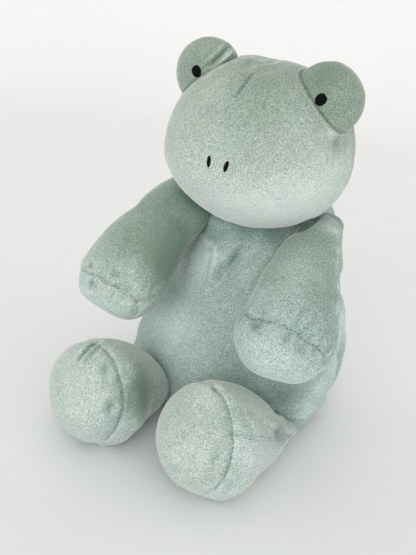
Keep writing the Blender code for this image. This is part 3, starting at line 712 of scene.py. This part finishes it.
def shrink_seams(obj, rest, seams):
    """Weights for the cloth: the seams, where the thread gathers the velour, weigh most."""
    near = np.zeros(len(rest))
    for seam, strength, _ in seams:
        near = np.maximum(near, strength * np.exp(-((seam(rest)[0] / 0.006) ** 2)))
    weights = obj.vertex_groups.new(name="seams")
    for index, weight in enumerate(near):
        weights.add([index], float(weight), "REPLACE")


CLOTH_STEPS = 20
CLOTH = {
    "quality": 6, "mass": 0.15, "tension_stiffness": 18, "compression_stiffness": 18, "shear_stiffness": 6,
    "bending_stiffness": 0.4, "use_pressure": True, "uniform_pressure_force": 4, "vertex_group_shrink": "seams",
    "shrink_min": -0.015, "shrink_max": 0.14,
}


def stuff(obj, rest, seams, cap):
    """Blows the skin up as its stuffing does, with gathered seams, and keeps it near its form."""
    shrink_seams(obj, rest, seams)
    cloth = obj.modifiers.new("stuffing", "CLOTH")
    for name, value in CLOTH.items():
        setattr(cloth.settings, name, value)
    cloth.settings.effector_weights.gravity = 0
    cloth.collision_settings.use_collision = False
    cloth.point_cache.frame_start, cloth.point_cache.frame_end = 1, CLOTH_STEPS
    scene = bpy.context.scene
    for step in range(1, CLOTH_STEPS + 1):
        scene.frame_set(step)
    full = obj.evaluated_get(bpy.context.evaluated_depsgraph_get())
    moved = places_of(full.data) - rest
    obj.modifiers.remove(cloth)
    obj.vertex_groups.clear()
    scene.frame_set(1)
    moved -= evened(moved, obj.data, 12)
    length = np.linalg.norm(moved, axis=1, keepdims=True)
    return rest + moved * np.minimum(1.0, cap / np.maximum(length, 1e-9))


def evened(values, mesh, rounds):
    """Values at a mesh's points after rounds of averaging with their neighbours."""
    edges = np.empty(len(mesh.edges) * 2, np.int32)
    mesh.edges.foreach_get("vertices", edges)
    ends = edges.reshape(-1, 2)
    here, there = ends.ravel(), ends[:, ::-1].ravel()
    count = np.bincount(here, minlength=len(values))[:, None]
    for _ in range(rounds):
        total = [np.bincount(here, column[there], len(values)) for column in values.T]
        values = 0.5 * values + 0.5 * np.stack(total, -1) / count
    return values


def finer(obj, levels):
    """A finer mesh of the object, after this many rounds of smooth subdivision."""
    smooth = obj.modifiers.new("finer", "SUBSURF")
    smooth.levels = smooth.render_levels = levels
    graph = bpy.context.evaluated_depsgraph_get()
    mesh = bpy.data.meshes.new_from_object(obj.evaluated_get(graph), depsgraph=graph)
    obj.modifiers.remove(smooth)
    return mesh


def take_vectors(mesh, name):
    """Reads a vector attribute and removes it."""
    values = read(mesh.attributes[name].data, "vector")
    mesh.attributes.remove(mesh.attributes[name])
    return values


def stuffed_mesh(obj, form, count, seams, cap):
    """Gives the object its fine skin, blown up by its stuffing, and returns where the form has each point."""
    directions, faces = ball_grid(count)
    rest = form.wrap(directions)
    obj.data = mesh_of(obj.name, rest, faces)
    layer = obj.data.attributes.new("ball", "FLOAT_VECTOR", "POINT")
    layer.data.foreach_set("vector", directions.astype(np.float32).ravel())
    mesh = finer(obj, 2)
    fine_rest = form.wrap(unit(take_vectors(mesh, "ball")))
    moved = np.zeros_like(fine_rest)
    set_places(obj.data, stuff(obj, rest, seams, cap))
    moved = places_of(finer(obj, 2)) - places_of(mesh)
    set_places(mesh, fine_rest + moved)
    obj.data = mesh
    return fine_rest


def sew(points, rest, normals, seams, depth, pucker, seed):
    """Sinks the seams, swells the cloth beside them and puckers it. Gives the places and how much painted shade they
    get in the seams' valleys and dents.
    """
    crease_shade = np.zeros(len(points))
    nearest = np.full(len(points), 1.0)
    offset = np.zeros(len(points))
    for number, (seam, strength, line) in enumerate(seams):
        distance, across = seam(rest)
        level = across - normals * np.einsum("ij,ij->i", across, normals)[:, None]
        lean = np.linalg.norm(level, axis=1)
        true = distance / np.maximum(lean, 0.35)
        far = np.abs(true)
        valley = np.exp(-((far / (1.1 * MM)) ** 2)) * strength
        swell = np.exp(-(((far - 6 * MM) / (4.5 * MM)) ** 2)) * strength
        along = rest - across * (distance * 0.9)[:, None]
        sides = [wander(along, 7.5 * MM, seed + number * 7 + k) for k in (1, 2)]
        ripple = np.where(true > 0, *sides) + 0.5 * wander(along, 3.6 * MM, seed + number * 7 + 3)
        reach = np.exp(-far / (6.5 * MM)) * (1 - np.exp(-far / (1.3 * MM))) * strength
        offset += -depth * valley + 0.35 * depth * swell + pucker * ripple * reach
        # Painted shade in the seam's valley and in the dents of its puckers.
        crease_shade = np.maximum(crease_shade, 0.3 * strength * np.exp(-((far / (0.9 * MM)) ** 2)))
        crease_shade = np.maximum(crease_shade, np.clip(-ripple * reach * 0.9, 0, 0.3) * min(1.0, pucker / MM))
        closer = far / line < np.abs(nearest)
        nearest = np.where(closer, true / line, nearest)
    return offset, crease_shade, nearest


def crease(points, tree, folds, seed):
    """Grooves, dents and ridges along lines, which are first laid on the skin, with painted shade in the grooves."""
    offset = np.zeros(len(points))
    crease_shade = np.zeros(len(points))
    for number, (line, width, depth) in enumerate(folds):
        laid = [np.array(tree.find_nearest(Vector(place) * MM)[0]) for place in line]
        far = from_line(points, laid) / (width * MM)
        waver = 1 + 0.25 * wander(points, 9 * MM, seed + 40 + number)
        ends = [np.linalg.norm(points - laid[end], axis=1) for end in (0, -1)]
        taper = 1.0 if len(line) == 1 else np.clip(np.minimum(*ends) / (3.5 * width * MM), 0, 1)
        groove = np.exp(-((far * waver) ** 2)) * taper
        lip = np.exp(-(((far - 1.9) / 0.8) ** 2)) * 0.22 * taper
        offset += (lip - groove) * depth * MM
        # Painted shade in the groove.
        crease_shade = np.maximum(crease_shade, groove * np.clip(depth / 8.0, 0, 0.3))
    return offset, crease_shade


def tree_of(obj):
    faces = [tuple(face.vertices) for face in obj.data.polygons]
    return BVHTree.FromPolygons([vert.co.copy() for vert in obj.data.vertices], faces)


def form_tree(form, count):
    directions, faces = ball_grid(count)
    return BVHTree.FromPolygons([Vector(place) for place in form.wrap(directions)], faces.tolist())


def neck_turned(points, turn_deg):
    """Points turned about the neck's axis."""
    turn = np.array(Matrix.Rotation(math.radians(turn_deg), 3, Vector(NECK)))
    return (points - DOME) @ turn.T + DOME


def press(points, tree, gap, turns=(0,)):
    """Pushes points inside a neighbour, or nearer than the gap, out of it, with the neck at these turns."""
    for turn in turns:
        points = neck_turned(points, turn)
        for index, point in enumerate(points):
            spot, normal, _, far = tree.find_nearest(Vector(point), 0.06)
            if spot is not None and (far < gap or (Vector(point) - spot).dot(normal) < 0):
                points[index] = spot + normal * gap
        points = neck_turned(points, -turn)
    return points


def meet(points, tree, width, depth, tint):
    """The crease and the shade where a skin meets its neighbour."""
    reach = 4 * width
    found = (tree.find_nearest(Vector(point), reach) for point in points)
    far = np.array([reach if spot is None else gap for spot, _, _, gap in found]) / width
    groove = np.exp(-(far**2))
    return 0.3 * depth * np.exp(-(((far - 2.2) / 1.0) ** 2)) - depth * groove, tint * groove


def make_skin(name, form, count, seams, folds, material, depth, pucker, cap, lumps, joined, seed, neighbours=()):
    """One stuffed velour skin: its form, blown up, made finer, sewn, creased and pressed to its neighbours."""
    obj = add_object(name, bpy.data.meshes.new(name))
    rest = stuffed_mesh(obj, form, count, seams, cap * MM)
    mesh = obj.data
    points, normals = places_of(mesh), normals_of(mesh)
    sewn, crease_shade, seam = sew(points, rest, normals, seams, depth * MM, pucker * MM, seed)
    creased, more = crease(points, tree_of(obj), folds, seed)
    lump = lumps * MM * (wander(rest, 30 * MM, seed + 11) + 0.45 * wander(rest, 13 * MM, seed + 12))
    # Where the skin meets a neighbour: a sunk crease, and painted shade.
    for neighbour, width, sunk, tint in joined:
        sunk, tint = meet(points, neighbour, width * MM, sunk * MM, tint)
        creased, more = creased + sunk, np.maximum(more, tint)
    points = points + normals * (sewn + creased + lump)[:, None]
    for neighbour, gap, turns in neighbours:
        points = press(points, neighbour, gap * MM, turns)
    points[:, 2] = np.maximum(points[:, 2], 0.0)
    set_places(mesh, points)
    mesh.shade_smooth()
    mesh.materials.clear()
    mesh.materials.append(material)
    # Painted shade in creases, seam valleys and where skins meet.
    set_values(mesh, "crease_shade", np.clip(np.maximum(crease_shade, more), 0, 1))
    set_values(mesh, "seam", seam)
    return obj


def paint_nap_and_shade(obj, base, rise, nap_and_shade_spots, reflection_hue, seed, light_end=None):
    """How pale each place looks, from the way the pile lies there and from painted light and shade: darker or paler
    by the way each place faces, and painted spots of shade and highlights.
    """
    mesh = obj.data
    points, normals = places_of(mesh), normals_of(mesh)
    # Painted light and shade: darker where the skin faces up, paler where it faces down.
    nap_and_shade = base - rise * normals[:, 2]
    nap_and_shade = nap_and_shade + 0.05 * wander(points, 26 * MM, seed + 20) + 0.03 * wander(points, 9 * MM, seed + 21)
    # Painted light and shade: the sides of puckers and dents that face a fixed light direction are paler, the other
    # sides darker.
    nap_and_shade += 1.1 * (normals - evened(normals, mesh, 14)) @ unit(np.array([-0.45, -0.5, 0.75]))
    # Spots of brushed pile and of painted shade and highlights.
    for place, reach, change in nap_and_shade_spots:
        near = np.linalg.norm(points / MM - place, axis=1) / reach
        nap_and_shade += change * np.exp(-(near**2))
    # Painted light together with the way the pile lies: paler towards the form's far end, the hand.
    if light_end is not None:
        form, start, gain = light_end
        share = form.share_of(points)
        nap_and_shade += gain * np.clip((share - start) / (1 - start), 0, 1)
    set_values(mesh, "nap_and_shade", nap_and_shade)
    # Painted reflected light: a cool or warm hue for each part, with random variation, cooler where the skin faces
    # down.
    set_values(mesh, "reflection_hue", reflection_hue + 0.25 * wander(points, 22 * MM, seed + 22) - 0.3 * normals[:, 2])


# ---- the frog

def build_skins(velour):
    """All the skins, the torso's and the head's first, because the others are pressed to them."""
    skins = {}

    def add(name, *shape, **looks):
        skins[name] = make_skin(name, *shape, material=velour, **looks)

    # Neighbours to meet: the crease's reach and depth in millimetres, and the strength of the painted shade there.
    head_and_arms = [(form_tree(HEAD, 16), 9.0, 0.0, 0.6)]
    head_and_arms += [(form_tree(arm, 16), 3.0, 0.0, 0.3) for arm in ARMS.values()]
    add("torso_skin", TORSO, 28, torso_seams(), TORSO_FOLDS, depth=1.4, pucker=1.1, cap=3.5, lumps=1.2,
        joined=head_and_arms, seed=100)
    torso = tree_of(skins["torso_skin"])
    add("head_skin", HEAD, 24, head_seams(), HEAD_FOLDS, depth=1.0, pucker=0.5, cap=3.5, lumps=0.7,
        neighbours=[(torso, 0.7, (0,)), (torso, 0.2, NECK_TURNS)],
        joined=[(form_tree(pod, 12), 1.1, 0.9, 0.5) for pod in PODS.values()], seed=200)
    head = tree_of(skins["head_skin"])
    for number, (side, hand) in enumerate(SIDES):
        pod, (pod_folds, arm_folds, leg_folds) = PODS[side], SIDE_FOLDS[side]
        rim = plane_seam(pod.spine(0.5), pod.depth)
        add(f"eye_{side}_skin", pod, 12, [(rim, 0.6, 0.6)], pod_folds, depth=0.7, pucker=0.4, cap=1.5, lumps=0.3,
            joined=[(head, 1.0, 0.5, 0.5)], seed=300 + 50 * number)
        add(f"arm_{side}_skin", ARMS[side], 18, hand_seams(side, hand), arm_folds, depth=1.2, pucker=1.3, cap=2.0,
            lumps=0.6, neighbours=[(torso, 0.4, (0,)), (head, 1.2, NECK_TURNS)],
            joined=[(head, 6.5, 1.2, 0.95), (torso, 2.5, 0.0, 0.6)], seed=500 + 50 * number)
        add(f"leg_{side}_skin", LEGS[side], 18, leg_seams(side), leg_folds, depth=1.2, pucker=1.2, cap=2.5, lumps=1.0,
            neighbours=[(torso, 0.4, (0,))], joined=[(torso, 2.5, 0.0, 0.8)], seed=700 + 50 * number)
    return skins


def paint_all_nap_and_shade(skins):
    paint_nap_and_shade(skins["torso_skin"], 0.50, 0.10, TORSO_NAP_AND_SHADE, reflection_hue=0.7, seed=1)
    paint_nap_and_shade(skins["head_skin"], 0.55, 0.30, HEAD_NAP_AND_SHADE, reflection_hue=-0.2, seed=2)
    for number, (side, arm_reflection_hue) in enumerate((("left", 0.5), ("right", 0.1))):
        on_pod, on_arm, on_leg = SIDE_NAP_AND_SHADE[side]
        paint_nap_and_shade(skins[f"eye_{side}_skin"], 0.27, 0.10, on_pod, reflection_hue=-0.5, seed=3 + number)
        paint_nap_and_shade(skins[f"arm_{side}_skin"], 0.25, 0.05, on_arm, light_end=(ARMS[side], 0.62, 0.44), reflection_hue=arm_reflection_hue,
              seed=5 + number)
        paint_nap_and_shade(skins[f"leg_{side}_skin"], 0.63, 0.10, on_leg, reflection_hue=0.1, seed=7 + number)


# ---- embroidery

def geometry_tree(name, floats, material):
    """A Geometry Nodes tree with named sizes, its entry sockets and the socket to finish into."""
    tree = bpy.data.node_groups.new(name, "GeometryNodeTree")
    tree.interface.new_socket("Geometry", in_out="INPUT", socket_type="NodeSocketGeometry")
    for label, value in floats.items():
        tree.interface.new_socket(label, in_out="INPUT", socket_type="NodeSocketFloat").default_value = value
    tree.interface.new_socket("Geometry", in_out="OUTPUT", socket_type="NodeSocketGeometry")
    entry = add_node(tree, "NodeGroupInput")
    realize = add_node(tree, "GeometryNodeRealizeInstances")
    finish = add_node(tree, "GeometryNodeSetMaterial", {"Geometry": realize.outputs[0], "Material": material})
    add_node(tree, "NodeGroupOutput", {0: finish.outputs[0]})
    return tree, entry.outputs, realize.inputs[0]


def combined(tree, **parts):
    """A vector from its X, Y and Z."""
    return add_node(tree, "ShaderNodeCombineXYZ", parts).outputs[0]


def position(tree):
    """Where each point is, as X, Y and Z."""
    here = add_node(tree, "GeometryNodeInputPosition").outputs[0]
    return add_node(tree, "ShaderNodeSeparateXYZ", {0: here}).outputs


def run_tree(obj, tree, sizes):
    """Runs a Geometry Nodes tree on an object with these sizes and keeps its mesh."""
    nodes = obj.modifiers.new(tree.name, "NODES")
    nodes.node_group = tree
    for item in tree.interface.items_tree:
        if item.item_type == "SOCKET" and item.in_out == "INPUT" and item.name in sizes:
            nodes[item.identifier] = float(sizes[item.name])
    graph = bpy.context.evaluated_depsgraph_get()
    mesh = bpy.data.meshes.new_from_object(obj.evaluated_get(graph), depsgraph=graph)
    obj.modifiers.remove(nodes)
    obj.data = mesh
    return mesh


def satin_rows(tree, given):
    """Straight threads side by side, each about as long as the oval is wide there."""
    twice = math_node(tree, "MULTIPLY", given["Half height"], 1.96)
    rows = add_node(tree, "GeometryNodeMeshLine", {
        "Count": math_node(tree, "DIVIDE", twice, given["Pitch"]),
        "Start Location": combined(tree, Y=math_node(tree, "MULTIPLY", twice, -0.5)),
        "Offset": combined(tree, Y=given["Pitch"]),
    }, mode="OFFSET")
    thread = add_node(tree, "GeometryNodeCurvePrimitiveLine", {"Start": (-1, 0, 0), "End": (1, 0, 0)})
    fine = add_node(tree, "GeometryNodeResampleCurve", {"Curve": thread.outputs[0], "Count": 9})
    rise = math_node(tree, "DIVIDE", position(tree)["Y"], given["Half height"])
    rest = math_node(tree, "SUBTRACT", 1.0, math_node(tree, "MULTIPLY", rise, rise), clamp=True)
    uneven = add_node(tree, "FunctionNodeRandomValue", {2: 0.94, 3: 1.08, "Seed": 5}).outputs[1]
    width = math_node(tree, "MULTIPLY", math_node(tree, "SQRT", rest), given["Half width"])
    scale = combined(tree, X=math_node(tree, "MULTIPLY", width, uneven), Y=1.0, Z=1.0)
    sources = {"Points": rows.outputs[0], "Instance": fine.outputs[0], "Scale": scale}
    spread = add_node(tree, "GeometryNodeInstanceOnPoints", sources)
    return add_node(tree, "GeometryNodeRealizeInstances", {0: spread.outputs[0]}).outputs[0]


def satin_tree(material):
    """Satin stitches: threads side by side across an oval, a little uneven at their ends."""
    sizes = {"Half width": 0.0038, "Half height": 0.0045, "Pitch": 0.00034, "Thread": 0.0002, "Crown": 0.0006}
    tree, given, finish = geometry_tree("satin_stitches", sizes, material)
    laid, place = satin_rows(tree, given), position(tree)
    x = math_node(tree, "DIVIDE", place["X"], given["Half width"])
    y = math_node(tree, "DIVIDE", place["Y"], given["Half height"])
    middle = math_node(tree, "MULTIPLY_ADD", x, x, math_node(tree, "MULTIPLY", y, y))
    height = math_node(tree, "MULTIPLY", math_node(tree, "SUBTRACT", 1.0, middle), given["Crown"])
    arch = add_node(tree, "GeometryNodeSetPosition", {"Geometry": laid, "Offset": combined(tree, Z=height)})
    ring = add_node(tree, "GeometryNodeCurvePrimitiveCircle", {"Resolution": 6, "Radius": given["Thread"]})
    sources = {"Curve": arch.outputs[0], "Profile Curve": ring.outputs[0], "Fill Caps": True}
    link(tree, add_node(tree, "GeometryNodeCurveToMesh", sources).outputs[0], finish)
    return tree


def embroider(name, tree, sizes, skin, place, facing, upright, tilt_deg=0.0):
    """A patch of satin stitches, laid on the skin around a place."""
    obj = add_object(name, bpy.data.meshes.new(name))
    mesh = run_tree(obj, tree, sizes)
    facing = unit(np.array(facing, float))
    upright = unit(upright - facing * np.dot(upright, facing))
    across = np.cross(upright, facing)
    tilt = math.radians(tilt_deg)
    across, upright = (across * math.cos(tilt) + upright * math.sin(tilt),
                       upright * math.cos(tilt) - across * math.sin(tilt))
    skin_tree = tree_of(skin)
    places = places_of(mesh)
    for index, (x, y, z) in enumerate(places.copy()):
        start = Vector(place + across * x + upright * y + facing * 0.02)
        spot, normal, _, _ = skin_tree.ray_cast(start, Vector(-facing))
        places[index] = spot + normal * (z + 0.0001)
    set_places(mesh, places)
    mesh.shade_smooth()
    return obj


def build_embroidery(skins, black):
    tree = satin_tree(black)
    for side, hand in SIDES:
        pod = PODS[side]
        place = pod.spine(0.46) - pod.depth * pod.half_depth
        sizes = {"Half width": 0.0038, "Half height": 0.0045}
        pupil = embroider(f"pupil_{side}_satin", tree, sizes, skins[f"eye_{side}_skin"], place, -pod.depth, pod.along)
        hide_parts(f"pupil_{side}")
        place = HEAD.spine(0.5) + HEAD.side * (hand * 0.0068) - HEAD.depth * HEAD.half_depth - HEAD.along * 0.007
        sizes = {"Half width": 0.0015, "Half height": 0.0041, "Thread": 0.00018, "Crown": 0.0003}
        nostril = embroider(f"nostril_{side}_satin", tree, sizes, skins["head_skin"], place, -HEAD.depth, HEAD.along,
                            tilt_deg=-8 * hand)
        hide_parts(f"nostril_{side}")
        for piece in (pupil, nostril):
            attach(piece, "head")


# ---- seam stitches

STITCH = {"Pitch": 0.0032, "Length": 0.0019, "Thickness": 0.00015}

# Where stitches show along the seams: lines in millimetres on the named skins.
STITCH_LINES = {
    "arm_left_skin": [HAND_CROSSINGS["left"]],
    "arm_right_skin": [HAND_CROSSINGS["right"][1:]],
    "leg_left_skin": [
        [(41.3, -116.1, 77.2), (55.5, -125.4, 75), (66.6, -135.9, 62.8), (69.3, -141.9, 47.2), (64.7, -145.4, 23.5)],
        [(66.6, -135.9, 62.8), (77.2, -124.3, 59.8), (84.1, -94.1, 42.8)],
    ],
    "leg_right_skin": [
        [(-36.5, -126.8, 73), (-26.2, -130.2, 62.3), (-21.5, -133.3, 53.6), (-19.9, -135.9, 45.5),
         (-22.7, -138.8, 27.7)],
    ],
}


def stitch_tree(material):
    """A row of short stitches, each a piece of thread that lies along the line."""
    tree, given, finish = geometry_tree("seam_stitches", STITCH, material)
    curve = add_node(tree, "GeometryNodeMeshToCurve", {0: given["Geometry"]}).outputs[0]
    even = add_node(tree, "GeometryNodeResampleCurve", {"Curve": curve, "Length": given["Pitch"]}, mode="LENGTH")
    thread = add_node(tree, "GeometryNodeMeshCylinder", {"Vertices": 6, "Radius": 1.0, "Depth": 1.0})
    tangent = add_node(tree, "GeometryNodeInputTangent").outputs[0]
    turn = add_node(tree, "FunctionNodeAlignRotationToVector", {"Vector": tangent})
    rows = add_node(tree, "GeometryNodeInstanceOnPoints", {
        "Points": even.outputs[0], "Instance": thread.outputs[0], "Rotation": turn.outputs[0],
        "Scale": combined(tree, X=given["Thickness"], Y=given["Thickness"], Z=given["Length"]),
    })
    link(tree, rows.outputs[0], finish)
    return tree


def stitch_rows(name, tree, skin, lines, thickness):
    """Rows of stitches along lines that are laid on a skin."""
    surface = tree_of(skin)
    places, edges = [], []
    for line in lines:
        first = len(places)
        for place in smooth_line(line):
            spot, normal, _, _ = surface.find_nearest(Vector(place))
            places.append(spot + normal * 0.00012)
        edges += [(index, index + 1) for index in range(first, len(places) - 1)]
    mesh = bpy.data.meshes.new(name)
    mesh.from_pydata(places, edges, [])
    obj = add_object(name, mesh)
    run_tree(obj, tree, {**STITCH, "Thickness": thickness})
    return obj


def build_stitches(skins, thread):
    tree = stitch_tree(thread)
    rows = {}
    for name, lines in STITCH_LINES.items():
        thickness = 0.0001 if name.startswith("leg") else STITCH["Thickness"]
        rows[name] = stitch_rows(name.replace("skin", "stitches"), tree, skins[name], lines, thickness)
    return rows


# ---- riding

def ride_all(skins, rows):
    """Each skin stands for its solids; the torso's, head's and eyes' skins move with their bodies, and the limbs'
    skins and their stitches keep their places.
    """
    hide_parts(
        "torso_front_panel", "torso_back_panel", "torso_base_panel", "torso_filling",
        "pellet_pouch",
    )
    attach(skins["torso_skin"], "torso")
    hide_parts("head_face_panel", "head_back_panel", "head_filling")
    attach(skins["head_skin"], "head")
    for side, hand in SIDES:
        eye, arm, leg = (skins[f"{part}_{side}_skin"] for part in ("eye", "arm", "leg"))
        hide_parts(f"eye_{side}_front_panel", f"eye_{side}_back_panel", f"eye_{side}_filling")
        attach(eye, "head")
        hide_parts(f"arm_{side}_upper_panel", f"arm_{side}_palm_panel", f"arm_{side}_filling")
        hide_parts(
            f"leg_{side}_upper_panel", f"leg_{side}_lower_panel", f"leg_{side}_filling",
            f"foot_{side}_sole_panel",
        )
        limbs = (("arm", arm, shoulder(hand), ARMS[side], 0.035), ("leg", leg, hip(hand), LEGS[side], 0.03))
        for part, skin, root, form, reach in limbs:
            for piece in (skin, rows[skin.name]):
                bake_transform(piece)


def main():
    right, ahead = photo_camera()
    studio(right, ahead)
    velour = velour_finish(pile_group())
    black = thread_finish("embroidery_thread", (0.003, 0.003, 0.005, 1), (0.012, 0.012, 0.016, 1), 0.7)
    seam_thread = thread_finish("seam_thread", (0.030, 0.042, 0.036, 1), (0.070, 0.095, 0.082, 1), 0.8)
    skins = build_skins(velour)
    paint_all_nap_and_shade(skins)
    build_embroidery(skins, black)
    ride_all(skins, build_stitches(skins, seam_thread))


main()
